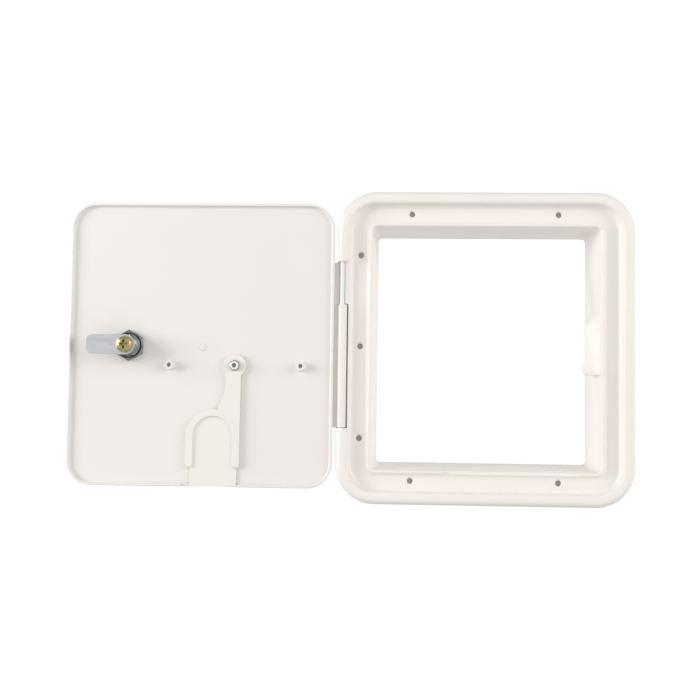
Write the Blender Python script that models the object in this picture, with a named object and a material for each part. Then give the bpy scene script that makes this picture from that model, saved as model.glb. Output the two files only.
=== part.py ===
"""Cable access hatch: a screw-down frame with a neck, a side-hinged lockable door and a swinging cord flap.

The hatch stands upright in the XZ plane and faces -Y. The origin is the middle of the cut-out in the wall, on
the wall's face, which is the plane y = 0. The door is modelled swung right open beside the frame, so its inner
face points the same way as the frame's front. Lengths are in metres.
"""
import math

import bmesh
import bpy
from mathutils import Vector

MM = 0.001
GAP = 0.3 * MM  # clearance between pieces that rest on each other

# Frame: every loop round the opening is a rounded rectangle, described by its half width ("reach").
FRAME_REACH = 118.5 * MM
FRAME_EXTRA_HEIGHT = 7.5 * MM  # a loop's half height is its reach plus this
RIM_EXTRA_HEIGHT = 6.8 * MM  # the same, for the rim and the outer part of the flange
RIM_DROP = 0.6 * MM  # how far the rim's centre is below the neck's
RIM_STARTS = 101.0 * MM  # loops with a longer reach belong to the rim
MOUTH_EXTRA_HEIGHT = 6.6 * MM  # the same as the extra heights above, for the lip and the neck's front
MOUTH_SHIFT = (0.8 * MM, -0.9 * MM)  # and how far their centre is from that of the neck's back
CORNER_CENTRE = 87.0 * MM  # reach of the point that the frame's corners turn about
SMALLEST_CORNER = 3.5 * MM
RIM_FRONT = -10.5 * MM
RIM_INNER_REACH = 108.5 * MM
RIM_WALL = 2.2 * MM
COVE_RADIUS = 3.7 * MM
FLANGE_FRONT = -2.5 * MM
LIP_FRONT = -5.5 * MM
NECK_FRONT_REACH = 91.2 * MM
NECK_BACK_REACH = 86.4 * MM
NECK_BACK = 39.3 * MM
NECK_WALL = 2.2 * MM
SCREW_HOLE_RADIUS = 2.25 * MM
SCREW_SINK_RADIUS = 3.5 * MM
SCREW_HOLE_WEB = 0.4 * MM  # skin left at the back of a screw hole
SCREW_X = 58.6 * MM  # top and bottom holes
SCREW_Z = 107.1 * MM
SIDE_SCREW_X = -99.7 * MM  # holes on the hinge side
SIDE_SCREW_Z = 73.6 * MM

# Hinge: a pin held by the rim on both sides of a gap cut in it.
HINGE_X = -114.2 * MM
HINGE_Y = -6.6 * MM
HINGE_GAP_TOP = 67.6 * MM
HINGE_GAP_BOTTOM = -65.7 * MM
KNUCKLE_ROOM = 109.3 * MM  # the rim's reach beside the knuckle
PIN_ROOM = 112.2 * MM  # and beside the bare length of the pin
LEDGE_FRONT = -7.0 * MM
WEB_FRONT = -1.5 * MM  # front of the skin that closes the frame's back behind the hinge
PIN_RADIUS = 1.75 * MM
PIN_BORE_RADIUS = 1.9 * MM
PIN_TOP = 75.5 * MM
PIN_BOTTOM = -72.5 * MM
KNUCKLE_RADIUS = 3.8 * MM
KNUCKLE_TOP = 33.0 * MM

# Door: a shallow tray. Depths are world Y with the door open.
DOOR_WIDTH = 214.2 * MM
DOOR_HEIGHT = 228.0 * MM
DOOR_CORNER = 20.0 * MM
DOOR_FROM_AXIS = 6.5 * MM
DOOR_SKIN = 2.5 * MM
DOOR_INNER = -5.5 * MM
DOOR_OUTER = DOOR_INNER + DOOR_SKIN
DOOR_EDGE_TIP = -8.6 * MM
DOOR_EDGE_WALL = 2.0 * MM
DOOR_X = HINGE_X - DOOR_FROM_AXIS - DOOR_WIDTH / 2

# Cord notch, the flap that closes it and the bosses above it.
NOTCH_X = -216.5 * MM
NOTCH_HALF = 15.0 * MM
NOTCH_ARCH_Z = -74.5 * MM
PIVOT = (-199.6 * MM, -16.9 * MM)
BOSS_SPACING = 52.9 * MM
BOSS_RADIUS = 3.8 * MM
BOSS_HEIGHT = 6.0 * MM
PIVOT_BOSS_RADIUS = 3.5 * MM
PIVOT_BOSS_HEIGHT = 3.8 * MM
FLAP_HALF = 21.6 * MM
FLAP_ARCH_Z = -73.6 * MM
FLAP_LEG = 5.5 * MM
FLAP_LEG_END = -98.3 * MM
FLAP_PLATE = 1.5 * MM
FLAP_RIB = 3.0 * MM
TAIL_LEFT = -234.5 * MM
TAIL_RIGHT = -197.0 * MM
TAIL_END = -113.6 * MM

# Cam lock. Distances along the lock count from the door's inner face towards the cam.
LOCK = (-285.7 * MM, -1.6 * MM)
BARREL_RADIUS = 9.5 * MM
BARREL_FLAT = 8.0 * MM
BARREL_LENGTH = 14.1 * MM
LOCK_FACE_RADIUS = 12.0 * MM
LOCK_FACE = 1.8 * MM
PLUG_RADIUS = 6.0 * MM
PLUG_CLEARANCE = 0.15 * MM
NUT_FLATS = 22.0 * MM
NUT_THICKNESS = 3.6 * MM
TANG = 7.6 * MM  # square end of the plug, across its flats
CAM_LENGTH = 31.5 * MM
CAM_WIDTH = 16.2 * MM
CAM_THICKNESS = 2.0 * MM
WAFERS = 5
WAFER_PITCH = 2.4 * MM

ROUND = 32  # sides of a round piece


# ---------------------------------------------------------------- helpers

def clear_scene():
    for obj in list(bpy.data.objects):
        bpy.data.objects.remove(obj, do_unlink=True)


def make_material(name, colour, roughness, metallic=0.0):
    material = bpy.data.materials.new(name)
    material.use_nodes = True
    shader = material.node_tree.nodes["Principled BSDF"]
    shader.inputs["Base Color"].default_value = (*colour, 1.0)
    shader.inputs["Roughness"].default_value = roughness
    shader.inputs["Metallic"].default_value = metallic
    return material


def make_empty(name, location, parent=None):
    """An axis marker at a world location, carried by its parent."""
    empty = bpy.data.objects.new(name, None)
    empty.location = Vector(location)
    if parent:
        empty.parent = parent
        empty.location -= parent.matrix_world.translation
    bpy.context.scene.collection.objects.link(empty)
    bpy.context.view_layer.update()
    return empty


def make_object(name, bm, material=None, parent=None, sharp_degrees=35.0):
    """Turn a closed bmesh, built in world coordinates, into an object whose origin is its parent's."""
    bmesh.ops.remove_doubles(bm, verts=bm.verts, dist=1e-7)
    bmesh.ops.recalc_face_normals(bm, faces=bm.faces)
    if parent:
        bmesh.ops.translate(bm, verts=bm.verts, vec=-parent.matrix_world.translation)
    mesh = bpy.data.meshes.new(name)
    bm.to_mesh(mesh)
    bm.free()
    mesh.shade_smooth()
    mesh.set_sharp_from_angle(angle=math.radians(sharp_degrees))
    obj = bpy.data.objects.new(name, mesh)
    bpy.context.scene.collection.objects.link(obj)
    if parent:
        obj.parent = parent
    if material:
        mesh.materials.append(material)
    return obj


def make_tool(name, bm, parent=None):
    """An object that only shapes another one."""
    tool = make_object(name, bm, parent=parent)
    tool.hide_render = True
    tool.display_type = "WIRE"
    return tool


def combine(obj, operation, name, bm):
    modifier = obj.modifiers.new(name, "BOOLEAN")
    modifier.operation = operation
    modifier.solver = "EXACT"
    modifier.object = make_tool(f"{obj.name}_{name}", bm, obj.parent)


def arc(centre_a, centre_b, radius, start, end, steps):
    """Points of an arc, angles in degrees."""
    turns = [math.radians(start + (end - start) * i / steps) for i in range(steps + 1)]
    return [(centre_a + radius * math.cos(t), centre_b + radius * math.sin(t)) for t in turns]


def rounded_loop(half_x, half_z, radius, y, centre=(0.0, 0.0), steps=6):
    points = []
    for sign_x, sign_z, start in ((1, 1, 0), (-1, 1, 90), (-1, -1, 180), (1, -1, 270)):
        corner_x = centre[0] + sign_x * (half_x - radius)
        corner_z = centre[1] + sign_z * (half_z - radius)
        points += arc(corner_x, corner_z, radius, start, start + 90, steps)
    return [Vector((x, y, z)) for x, z in points]


def bridge(bm, first, second):
    count = len(first)
    for i in range(count):
        j = (i + 1) % count
        bm.faces.new((first[i], first[j], second[j], second[i]))


def loft(loops, ring=False):
    """A solid through a row of loops: capped at both ends, or closed on itself as a ring."""
    bm = bmesh.new()
    rows = [[bm.verts.new(point) for point in loop] for loop in loops]
    for first, second in zip(rows, rows[1:]):
        bridge(bm, first, second)
    if ring:
        bridge(bm, rows[-1], rows[0])
    else:
        bm.faces.new(rows[0])
        bm.faces.new(rows[-1])
    return bm


def extruded(outline, y_from, y_to):
    """A prism along Y on an outline of (x, z) points."""
    return loft([[Vector((x, y, z)) for x, z in outline] for y in (y_from, y_to)])


def box(low, high):
    outline = [(low[0], low[2]), (high[0], low[2]), (high[0], high[2]), (low[0], high[2])]
    return extruded(outline, low[1], high[1])


def turned(profile, centre, steps=ROUND):
    """A solid turned about the line through centre (x, z) along Y, from a profile of (radius, y) points."""
    loops = []
    for radius, y in profile:
        ring = arc(centre[0], centre[1], radius, 0, 360 - 360 / steps, steps - 1)
        loops.append([Vector((x, y, z)) for x, z in ring])
    return loft(loops)


def turned_ring(profile, centre, steps=ROUND):
    """A turned solid with a hole: the profile is closed on itself."""
    loops = []
    for radius, y in profile:
        ring = arc(centre[0], centre[1], radius, 0, 360 - 360 / steps, steps - 1)
        loops.append([Vector((x, y, z)) for x, z in ring])
    return loft(loops, ring=True)


def upright_rod(profile, x, y, steps=24):
    """A rod turned about a vertical line, from a profile of (radius, z) points."""
    loops = []
    for radius, z in profile:
        ring = arc(x, y, radius, 0, 360 - 360 / steps, steps - 1)
        loops.append([Vector((px, py, z)) for px, py in ring])
    return loft(loops)


def add_meshes(meshes):
    """Several separate closed meshes as one, for use as a single tool."""
    total = bmesh.new()
    for bm in meshes:
        mesh = bpy.data.meshes.new("temporary")
        bm.to_mesh(mesh)
        bm.free()
        total.from_mesh(mesh)
        bpy.data.meshes.remove(mesh)
    return total


# ---------------------------------------------------------------- frame

def frame_loop(reach, y):
    radius = max(reach - CORNER_CENTRE, SMALLEST_CORNER)
    if reach > RIM_STARTS:
        return rounded_loop(reach, reach + RIM_EXTRA_HEIGHT, radius, y, (0.0, -RIM_DROP))
    if y <= 0.0:
        return rounded_loop(reach, reach + MOUTH_EXTRA_HEIGHT, radius, y, MOUTH_SHIFT)
    return rounded_loop(reach, reach + FRAME_EXTRA_HEIGHT, radius, y)


def frame_profile():
    """The frame's cross-section as (reach, y) points: front of the rim, flange, lip, neck, and back again."""
    outer_round = 5.0 * MM
    inner_round = 2.5 * MM
    rim_side = RIM_FRONT + outer_round
    cove_x = RIM_INNER_REACH - 0.2 * MM - COVE_RADIUS
    cove_y = FLANGE_FRONT - COVE_RADIUS
    points = [(FRAME_REACH, 0.0)]
    points += arc(FRAME_REACH - 0.3 * MM - outer_round, rim_side, outer_round, 0, -90, 4)
    points += arc(RIM_INNER_REACH + inner_round, RIM_FRONT + inner_round, inner_round, -90, -180, 3)
    points += arc(cove_x, cove_y, COVE_RADIUS, 0, 90, 4)
    points += [(99.5 * MM, FLANGE_FRONT), (96.2 * MM, -2.9 * MM), (94.5 * MM, -3.8 * MM)]
    points += [(93.5 * MM, -5.1 * MM), (92.7 * MM, LIP_FRONT), (91.8 * MM, -5.2 * MM)]
    points += [(NECK_FRONT_REACH, -4.4 * MM)]
    points += [(NECK_BACK_REACH, NECK_BACK), (NECK_BACK_REACH + NECK_WALL, NECK_BACK)]
    points += [(NECK_FRONT_REACH + NECK_WALL - 0.3 * MM, 0.0), (106.4 * MM, 0.0)]
    hollow = COVE_RADIUS + RIM_WALL
    points += arc(cove_x, cove_y, hollow, 60, 0, 2)
    points += arc(RIM_INNER_REACH + inner_round + 1.0 * MM, -6.8 * MM, 1.5 * MM, 200, 270, 2)
    points += arc(113.2 * MM, -5.6 * MM, outer_round - RIM_WALL, -70, 0, 3)
    points += [(FRAME_REACH - RIM_WALL, 0.0)]
    return points


def screw_places():
    places = [(x, z) for z in (SCREW_Z, -SCREW_Z) for x in (-SCREW_X, SCREW_X)]
    return places + [(SIDE_SCREW_X, z) for z in (SIDE_SCREW_Z, 0.0, -SIDE_SCREW_Z)]


def screw_hole(place):
    profile = [(SCREW_HOLE_RADIUS, -SCREW_HOLE_WEB), (SCREW_HOLE_RADIUS, -1.4 * MM)]
    profile += [(SCREW_SINK_RADIUS, FLANGE_FRONT - 0.1 * MM), (SCREW_SINK_RADIUS, -5 * MM)]
    return turned(profile, place, steps=16)


def keeper():
    """The ledge on the neck's right wall that the cam turns behind, with a ramp at its top and a stop below."""
    root, pad = 92.6, 91.5
    loops = []
    for z, tip, back in ((29.0, 87.5, 6.4), (17.5, 80.7, 7.4), (-10.5, 80.7, 7.4), (-12.0, 79.5, 10.5),
                         (-17.5, 79.3, 10.5), (-21.0, 81.4, 10.5)):
        middle = tip + 0.55 * (pad - tip)
        section = [(root, -3.4), (pad, -3.2), (middle, 2.4), (tip, 4.4), (tip, back), (root, back)]
        loops.append([Vector((x, y, z)) * MM for x, y in section])
    return loft(loops)


def build_frame(material):
    frame = make_object("frame", loft([frame_loop(*point) for point in frame_profile()], ring=True), material)
    lug_low, lug_high = (-116.8 * MM, -8.6 * MM), (-109.0 * MM, -0.4 * MM)
    lugs = []
    for bottom, top in ((KNUCKLE_TOP - 2 * MM, 78 * MM), (-76 * MM, HINGE_GAP_BOTTOM + 4 * MM)):
        lugs.append(box((*lug_low, bottom), (*lug_high, top)))
    combine(frame, "UNION", "pin_lugs", add_meshes(lugs))
    web = box((-117.5 * MM, WEB_FRONT - 1.5 * MM, HINGE_GAP_BOTTOM - 1 * MM), (-108.8 * MM, 0.0, HINGE_GAP_TOP + 1 * MM))
    combine(frame, "UNION", "hinge_web", web)
    combine(frame, "UNION", "keeper", keeper())
    pin_room = box((-120 * MM, -12 * MM, KNUCKLE_TOP), (-PIN_ROOM, WEB_FRONT, HINGE_GAP_TOP))
    combine(frame, "DIFFERENCE", "pin_room", pin_room)
    knuckle_room = box((-120 * MM, -12 * MM, HINGE_GAP_BOTTOM), (-KNUCKLE_ROOM, WEB_FRONT, KNUCKLE_TOP + 0.6 * MM))
    combine(frame, "DIFFERENCE", "knuckle_room", knuckle_room)
    ledge = box((-113 * MM, -12 * MM, HINGE_GAP_BOTTOM), (-105.5 * MM, LEDGE_FRONT, HINGE_GAP_TOP))
    combine(frame, "DIFFERENCE", "leaf_room", ledge)
    bore = upright_rod([(PIN_BORE_RADIUS, -73 * MM), (PIN_BORE_RADIUS, 76.2 * MM)], HINGE_X, HINGE_Y)
    combine(frame, "DIFFERENCE", "pin_bore", bore)
    rebate = box((-32.3 * MM, -7 * MM, -101.3 * MM), (78.8 * MM, -3.3 * MM, -98.0 * MM))
    combine(frame, "DIFFERENCE", "flap_rebate", rebate)
    combine(frame, "DIFFERENCE", "screw_holes", add_meshes([screw_hole(place) for place in screw_places()]))
    return frame


def build_hinge_pin(material):
    chamfer = 0.5 * MM
    ends = [(PIN_RADIUS - chamfer, PIN_BOTTOM), (PIN_RADIUS, PIN_BOTTOM + chamfer)]
    ends += [(PIN_RADIUS, PIN_TOP - chamfer), (PIN_RADIUS - chamfer, PIN_TOP)]
    return make_object("hinge_pin", upright_rod(ends, HINGE_X, HINGE_Y), material)


# ---------------------------------------------------------------- door

def door_loop(inset, y):
    half_x = DOOR_WIDTH / 2 - inset
    half_z = DOOR_HEIGHT / 2 - inset
    return rounded_loop(half_x, half_z, DOOR_CORNER - inset, y, (DOOR_X, 0.0))


def door_profile():
    """(inset from the outline, y) from the inner face, over the raised edge, to the outer face."""
    wall = DOOR_EDGE_WALL
    points = [(wall + 1.2 * MM, DOOR_INNER), (wall + 0.4 * MM, DOOR_INNER - 0.4 * MM)]
    points += [(wall, DOOR_INNER - 1.2 * MM), (wall - 0.1 * MM, DOOR_EDGE_TIP + 0.4 * MM)]
    points += [(wall - 0.5 * MM, DOOR_EDGE_TIP), (0.6 * MM, DOOR_EDGE_TIP), (0.0, DOOR_EDGE_TIP + 0.8 * MM)]
    points += [(0.0, DOOR_OUTER - 1.8 * MM), (0.5 * MM, DOOR_OUTER - 0.5 * MM), (1.8 * MM, DOOR_OUTER)]
    return points


def boss(centre, radius, height):
    top = DOOR_INNER - height
    return turned([(radius, DOOR_INNER + 1 * MM), (radius, top + 0.4 * MM), (radius - 0.4 * MM, top)], centre, 24)


def boss_places():
    return [(PIVOT[0] - BOSS_SPACING, PIVOT[1]), (PIVOT[0] + BOSS_SPACING, PIVOT[1])]


def notch_outline(half, arch_z, bottom):
    return [(NOTCH_X + half, bottom)] + arc(NOTCH_X, arch_z, half, 0, 180, 12) + [(NOTCH_X - half, bottom)]


def flatted_circle(centre, radius, flat, steps=48):
    """A circle with two opposite flats, above and below its centre."""
    points = []
    for x, z in arc(0.0, 0.0, radius, 0, 360 - 360 / steps, steps - 1):
        points.append((centre[0] + x, centre[1] + max(-flat, min(flat, z))))
    return points


def knuckle_outline():
    """The knuckle's cross-section as (x, y): a thin leaf from the door's edge, and the boss round the pin."""
    points = [(-7.6, 3.4), (-1.0, 3.5)] + arc(0.0, 0.0, KNUCKLE_RADIUS / MM, 80, 0, 6)
    points += [(4.0, -1.8), (3.8, -2.35), (3.2, -3.0), (1.6, -3.1), (0.0, -2.9), (-1.2, -2.5), (-2.1, -1.8)]
    points += [(-2.6, -0.8), (-2.9, 0.4), (-3.5, 1.6), (-4.6, 2.2), (-7.6, 2.2)]
    return [(HINGE_X + x * MM, HINGE_Y + y * MM) for x, y in points]


def upright_prism(outline, bottom, top):
    return loft([[Vector((x, y, z)) for x, y in outline] for z in (bottom, top)])


def build_door(material, parent):
    door = make_object("door_panel", loft([door_loop(*point) for point in door_profile()]), material, parent)
    knuckle_bottom = HINGE_GAP_BOTTOM + 0.5 * MM
    combine(door, "UNION", "knuckle", upright_prism(knuckle_outline(), knuckle_bottom, KNUCKLE_TOP))
    strip_low = (HINGE_X - DOOR_FROM_AXIS - 1.2 * MM, DOOR_OUTER - 1.5 * MM, KNUCKLE_TOP - 1.0 * MM)
    strip_high = (HINGE_X - 2.2 * MM, DOOR_OUTER - 0.3 * MM, HINGE_GAP_TOP - 0.6 * MM)
    combine(door, "UNION", "strip", box(strip_low, strip_high))
    bosses = [boss(place, BOSS_RADIUS, BOSS_HEIGHT) for place in boss_places()]
    bosses.append(boss(PIVOT, PIVOT_BOSS_RADIUS, PIVOT_BOSS_HEIGHT))
    combine(door, "UNION", "bosses", add_meshes(bosses))
    bore = upright_rod([(PIN_BORE_RADIUS, -70 * MM), (PIN_BORE_RADIUS, 40 * MM)], HINGE_X, HINGE_Y)
    combine(door, "DIFFERENCE", "pin_bore", bore)
    hole_bottom = DOOR_INNER - 0.3 * MM
    holes = [turned([(1.7 * MM, hole_bottom), (1.7 * MM, -20 * MM)], place, 16) for place in boss_places()]
    holes.append(turned([(1.6 * MM, hole_bottom), (1.6 * MM, -20 * MM)], PIVOT, 16))
    combine(door, "DIFFERENCE", "boss_holes", add_meshes(holes))
    lock_hole = flatted_circle(LOCK, BARREL_RADIUS + 0.2 * MM, BARREL_FLAT + 0.2 * MM)
    combine(door, "DIFFERENCE", "lock_hole", extruded(lock_hole, -12 * MM, 2 * MM))
    notch = extruded(notch_outline(NOTCH_HALF, NOTCH_ARCH_Z, -120 * MM), -12 * MM, 2 * MM)
    combine(door, "DIFFERENCE", "cord_notch", notch)
    edge_room = box((-241.5 * MM, -12 * MM, -116 * MM), (TAIL_RIGHT + 0.4 * MM, DOOR_INNER, -111 * MM))
    combine(door, "DIFFERENCE", "tail_room", edge_room)
    return door


# ---------------------------------------------------------------- flap

def arm_outline():
    """The arm from its round head, tapering out to the arch."""
    head = 9.0 * MM
    points = [(TAIL_RIGHT + 2.4 * MM, FLAP_ARCH_Z)]
    points += arc(PIVOT[0], PIVOT[1], head, -56, 215, 16)
    points += [(-206.6 * MM, -25.5 * MM), (-206.6 * MM, -34.0 * MM), (-209.2 * MM, -43.5 * MM)]
    points += [(-213.0 * MM, -52.6 * MM), (-212.6 * MM, -55.8 * MM), (-207.5 * MM, -58.2 * MM)]
    points.append((-202.5 * MM, -64.0 * MM))
    points += [(-199.2 * MM, -70.0 * MM), (-198.6 * MM, FLAP_ARCH_Z)]
    return points


def rib_outline():
    """The inverted U that stiffens the flap round the notch."""
    outer = FLAP_HALF - 0.2 * MM
    inner = FLAP_HALF - FLAP_LEG
    points = [(NOTCH_X + outer, FLAP_LEG_END)] + arc(NOTCH_X, FLAP_ARCH_Z, outer, 0, 180, 16)
    points += [(NOTCH_X - outer, FLAP_LEG_END), (NOTCH_X - inner, FLAP_LEG_END)]
    return points + arc(NOTCH_X, FLAP_ARCH_Z, inner, 180, 0, 14) + [(NOTCH_X + inner, FLAP_LEG_END)]


def build_flap(material, parent):
    back = DOOR_INNER - GAP
    step = FLAP_LEG_END - 0.8 * MM
    plate = [(NOTCH_X + FLAP_HALF, step)] + arc(NOTCH_X, FLAP_ARCH_Z, FLAP_HALF, 0, 180, 16)
    plate += [(NOTCH_X - FLAP_HALF, step), (TAIL_LEFT, step), (TAIL_LEFT, TAIL_END)]
    plate += [(TAIL_RIGHT, TAIL_END), (TAIL_RIGHT, step)]
    flap = make_object("flap", extruded(plate, back, back - FLAP_PLATE), material, parent)
    raised = back - 0.5 * MM
    combine(flap, "UNION", "rib", extruded(rib_outline(), raised, back - FLAP_RIB))
    combine(flap, "UNION", "arm", extruded(arm_outline(), raised + 0.1 * MM, back - FLAP_RIB - 0.1 * MM))
    hole = turned([(PIVOT_BOSS_RADIUS + GAP, 0.0), (PIVOT_BOSS_RADIUS + GAP, -20 * MM)], PIVOT, 24)
    combine(flap, "DIFFERENCE", "pivot_hole", hole)
    return flap


def cross_recess(centre, top, width, length, depth):
    """Two crossed slots, for a screw's drive; top is the head's outermost y."""
    cross = []
    for half_x, half_z in ((length / 2, width / 2), (width / 2, length / 2)):
        low = (centre[0] - half_x, top - 1 * MM, centre[1] - half_z)
        high = (centre[0] + half_x, top + depth, centre[1] + half_z)
        cross.append(box(low, high))
    return cross


def make_screw(name, centre, seat, head_radius, head_height, shank, shank_end, material, parent):
    """A pan-head screw along Y whose head sits at y = seat and points towards -Y."""
    top = seat - head_height
    profile = [(shank * 0.6, shank_end), (shank, shank_end - 1.0 * MM), (shank, seat), (head_radius, seat)]
    profile += [(head_radius, seat - head_height * 0.35), (head_radius * 0.88, seat - head_height * 0.75)]
    profile += [(head_radius * 0.6, top)]
    screw = make_object(name, turned(profile, centre), material, parent)
    slots = cross_recess(centre, top, head_radius * 0.28, head_radius * 1.05, head_height * 0.6)
    combine(screw, "DIFFERENCE", "recess_a", slots[0])
    combine(screw, "DIFFERENCE", "recess_b", slots[1])
    return screw


def build_flap_fasteners(washer_material, screw_material, parent):
    """A steel washer and a plastic screw with a hexagon socket, which hold the flap on its boss."""
    seat = DOOR_INNER - PIVOT_BOSS_HEIGHT - 0.1 * MM
    outer, inner, thickness = 4.2 * MM, 2.1 * MM, 0.8 * MM
    washer = [(inner, seat), (outer, seat), (outer, seat - thickness), (inner, seat - thickness)]
    make_object("flap_washer", turned_ring(washer, PIVOT), washer_material, parent)
    head_seat = seat - thickness - 0.1 * MM
    top = head_seat - 2.3 * MM
    shank, head, shank_end = 1.45 * MM, 3.4 * MM, DOOR_INNER - 0.6 * MM
    profile = [(shank * 0.6, shank_end), (shank, shank_end - 1.0 * MM), (shank, head_seat), (head, head_seat)]
    profile += [(head, top + 0.8 * MM), (head - 0.6 * MM, top)]
    screw = make_object("flap_screw", turned(profile, PIVOT), screw_material, parent)
    socket = turned([(2.0 * MM, top + 1.5 * MM), (2.0 * MM, top - 1.0 * MM)], PIVOT, 6)
    combine(screw, "DIFFERENCE", "socket", socket)


# ---------------------------------------------------------------- cam lock

def along_lock(distance):
    """World y of a point on the lock, a distance from the door's inner face."""
    return DOOR_INNER - distance


def square(centre, half):
    return [(centre[0] + sx * half, centre[1] + sz * half) for sx, sz in ((1, 1), (-1, 1), (-1, -1), (1, -1))]


def build_lock_housing(material, parent):
    """The threaded barrel with its face ring, and a lug on its end that stops the cam's turn."""
    end = along_lock(BARREL_LENGTH)
    face_back = DOOR_OUTER + 0.15 * MM
    bore = PLUG_RADIUS + PLUG_CLEARANCE
    barrel = extruded(flatted_circle(LOCK, BARREL_RADIUS, BARREL_FLAT), end, face_back + 0.6 * MM)
    housing = make_object("lock_housing", barrel, material, parent)
    front = face_back + LOCK_FACE
    ring = [(LOCK_FACE_RADIUS, face_back), (LOCK_FACE_RADIUS, face_back + 0.9 * MM)]
    ring += [(LOCK_FACE_RADIUS - 1.2 * MM, front)]
    combine(housing, "UNION", "face", turned(ring, LOCK))
    lug = arc(LOCK[0], LOCK[1], 9.2 * MM, -160, 70, 20) + arc(LOCK[0], LOCK[1], 7.3 * MM, 70, -160, 20)
    combine(housing, "UNION", "stop_lug", extruded(lug, end + 0.5 * MM, end - 1.2 * MM))
    hole = [(bore, end - 3 * MM), (bore, face_back + 0.4 * MM), (7.3 * MM, face_back + 0.4 * MM)]
    hole += [(7.3 * MM, front + 2 * MM)]
    combine(housing, "DIFFERENCE", "plug_bore", turned(hole, LOCK))
    return housing


def wafer_y(index):
    return along_lock(-0.6 * MM) - (index + 1) * WAFER_PITCH


def build_lock_plug(material, parent):
    """The core that the key turns: shouldered face, wafer slots, keyway and a square tang for the cam."""
    end = along_lock(BARREL_LENGTH)
    face_back = DOOR_OUTER + 0.15 * MM
    front = face_back + LOCK_FACE - 0.1 * MM
    core = [(PLUG_RADIUS, end), (PLUG_RADIUS, face_back + 0.6 * MM), (7.1 * MM, face_back + 0.6 * MM)]
    core += [(7.1 * MM, front - 0.3 * MM), (6.8 * MM, front)]
    plug = make_object("lock_plug", turned(core, LOCK), material, parent)
    tang_end = end - 3.4 * MM
    combine(plug, "UNION", "tang", extruded(square(LOCK, TANG / 2), end + 1 * MM, tang_end))
    screw_hole_radius = 2.3 * MM
    bore = [(screw_hole_radius, tang_end - 2 * MM), (screw_hole_radius, tang_end + 3.2 * MM)]
    combine(plug, "DIFFERENCE", "screw_bore", turned(bore, LOCK, 16))
    keyway = box((LOCK[0] - 1.1 * MM, wafer_y(WAFERS - 1) - 0.9 * MM, LOCK[1] - 3.2 * MM),
                 (LOCK[0] + 1.1 * MM, 2 * MM, LOCK[1] + 3.2 * MM))
    combine(plug, "DIFFERENCE", "keyway", keyway)
    slots = []
    for index in range(WAFERS):
        y = wafer_y(index)
        low = (LOCK[0] - 3.4 * MM, y - 0.75 * MM, LOCK[1] - 7 * MM)
        slots.append(box(low, (LOCK[0] + 3.4 * MM, y + 0.75 * MM, LOCK[1] + 7 * MM)))
    combine(plug, "DIFFERENCE", "wafer_slots", add_meshes(slots))
    return plug


def build_wafers(material, spring_material, parent):
    """Flat wafers that the key lifts, each pushed by its own small coil spring."""
    reach = PLUG_RADIUS - 0.25 * MM
    left, right = -3.1 * MM, 1.55 * MM
    for index in range(WAFERS):
        y = wafer_y(index)
        top = [(x, z) for x, z in arc(0.0, 0.0, reach, 60, 120, 6) if left <= x <= right]
        outline = [(right, math.sqrt(reach ** 2 - right ** 2))] + top
        outline += [(left, math.sqrt(reach ** 2 - left ** 2)), (left, -math.sqrt(reach ** 2 - left ** 2))]
        outline += [(x, -z) for x, z in reversed(top)] + [(right, -math.sqrt(reach ** 2 - right ** 2))]
        placed = [(LOCK[0] + x, LOCK[1] + z) for x, z in outline]
        wafer = make_object(f"wafer_{index + 1}", extruded(placed, y - 0.45 * MM, y + 0.45 * MM), material, parent)
        window = box((LOCK[0] - 1.3 * MM, y - 2 * MM, LOCK[1] - 3.4 * MM),
                     (LOCK[0] + 0.9 * MM, y + 2 * MM, LOCK[1] + 3.4 * MM))
        combine(wafer, "DIFFERENCE", "window", window)
        build_wafer_spring(f"wafer_spring_{index + 1}", (LOCK[0] + 2.5 * MM, y), spring_material, parent)


def build_wafer_spring(name, axis, material, parent):
    """A coil along Z at (x, y), swept with a five-sided wire."""
    coil, wire, turns, height = 0.42 * MM, 0.13 * MM, 4, 4.2 * MM
    steps, sides = 8 * turns, 5
    rows = []
    for i in range(steps + 1):
        turn = 2 * math.pi * turns * i / steps
        z = LOCK[1] - height / 2 + height * i / steps
        outward = Vector((math.cos(turn), math.sin(turn), 0.0))
        middle = Vector((axis[0], axis[1], z)) + coil * outward
        row = []
        for k in range(sides):
            around = 2 * math.pi * k / sides
            row.append(middle + wire * (math.cos(around) * outward + Vector((0, 0, math.sin(around)))))
        rows.append(row)
    make_object(name, loft(rows), material, parent)


def build_nut_and_washer(nut_material, parent):
    seat = along_lock(0.1 * MM)
    inner = BARREL_RADIUS + 0.25 * MM
    washer_end = seat - 0.8 * MM
    washer = [(inner, seat), (11.2 * MM, seat), (11.2 * MM, washer_end), (inner, washer_end)]
    make_object("lock_washer", turned_ring(washer, LOCK, 36), nut_material, parent)
    nut_seat = washer_end - 0.1 * MM
    nut_end = nut_seat - NUT_THICKNESS
    corner = NUT_FLATS / 2 / math.cos(math.radians(30))
    hexagon = [(LOCK[0] + corner * math.sin(math.radians(60 * i)), LOCK[1] + corner * math.cos(math.radians(60 * i)))
               for i in range(6)]
    nut = make_object("lock_nut", extruded(hexagon, nut_seat, nut_end), nut_material, parent)
    combine(nut, "DIFFERENCE", "thread", turned([(inner, nut_seat + 2 * MM), (inner, nut_end - 2 * MM)], LOCK, 36))


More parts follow.
